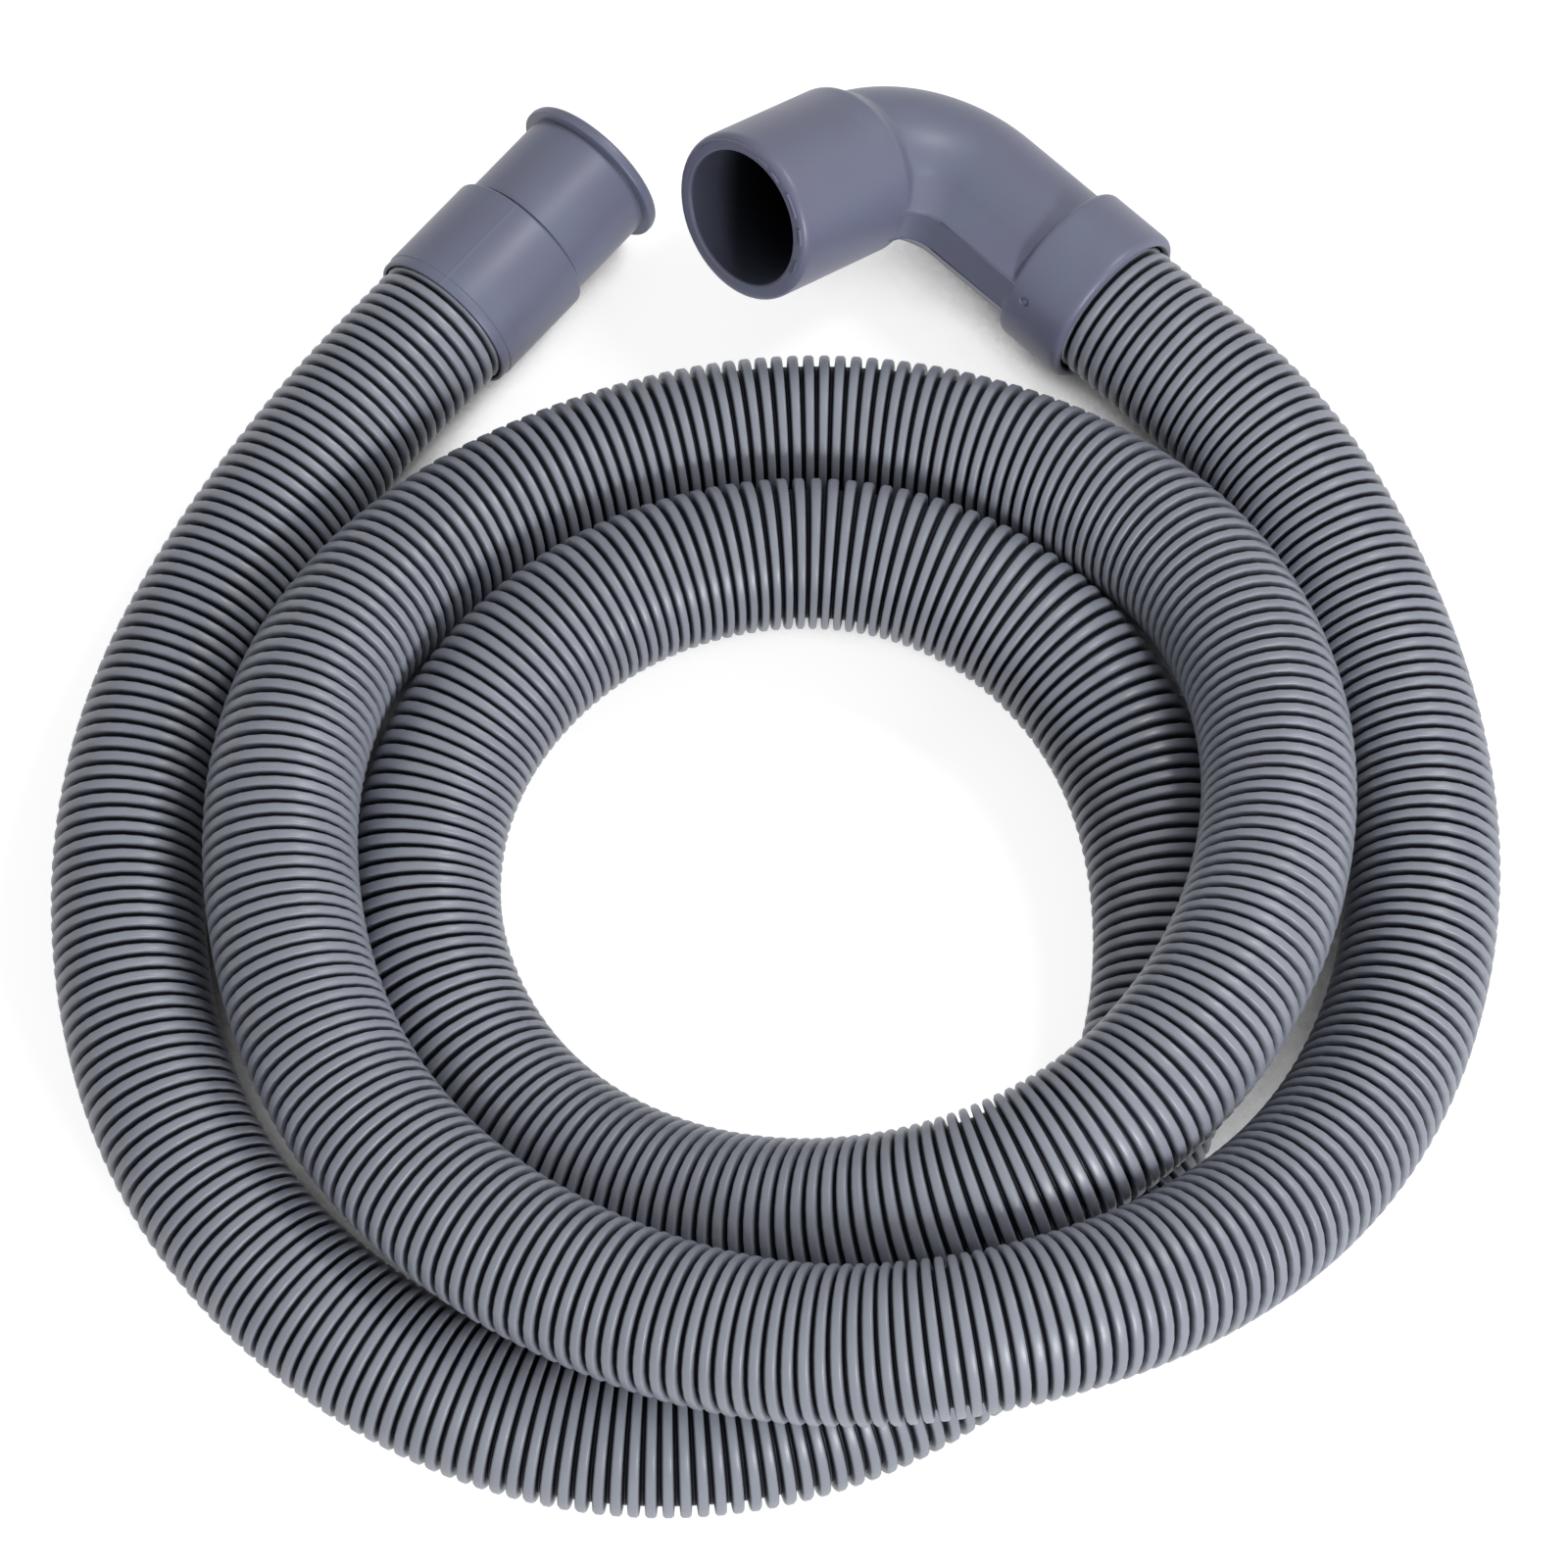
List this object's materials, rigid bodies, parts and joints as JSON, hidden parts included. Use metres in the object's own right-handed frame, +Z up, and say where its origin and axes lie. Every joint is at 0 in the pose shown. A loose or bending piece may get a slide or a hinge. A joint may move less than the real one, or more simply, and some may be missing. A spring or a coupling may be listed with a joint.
{
  "type": "coiled drain hose",
  "caption": "Coiled ribbed waste hose with a straight flanged cuff on one end and a right-angle socket elbow on the other; both ends turn on the hose.",
  "frame": {"origin": "on the floor under the middle of the whole part", "axes": "+Z up from the floor the coil lies on; both fittings point towards +Y, the straight cuff on the -X side and the elbow on the +X side"},
  "size_m": [0.3164, 0.3402, 0.0701],
  "materials": {
    "hose_plastic": "semi-gloss blow-moulded grey plastic",
    "fitting_plastic": "satin injection-moulded blue-grey plastic"
  },
  "bodies": {
    "hose": {"ribbed_hose": "hose_plastic"},
    "cuff": {"straight_cuff": "fitting_plastic"},
    "elbow": {"elbow_fitting": "fitting_plastic"}
  },
  "joints": [
    {"name": "cuff_turn", "type": "hinge", "parent": "hose", "child": "cuff", "pos_m": [-0.076, 0.1135, 0.019], "axis": [0.6428, 0.766, 0], "continuous": true},
    {"name": "elbow_turn", "type": "hinge", "parent": "hose", "child": "elbow", "pos_m": [0.0775, 0.1165, 0.02], "axis": [-0.7193, 0.6947, 0], "range_deg": [-24, 156]}
  ]
}
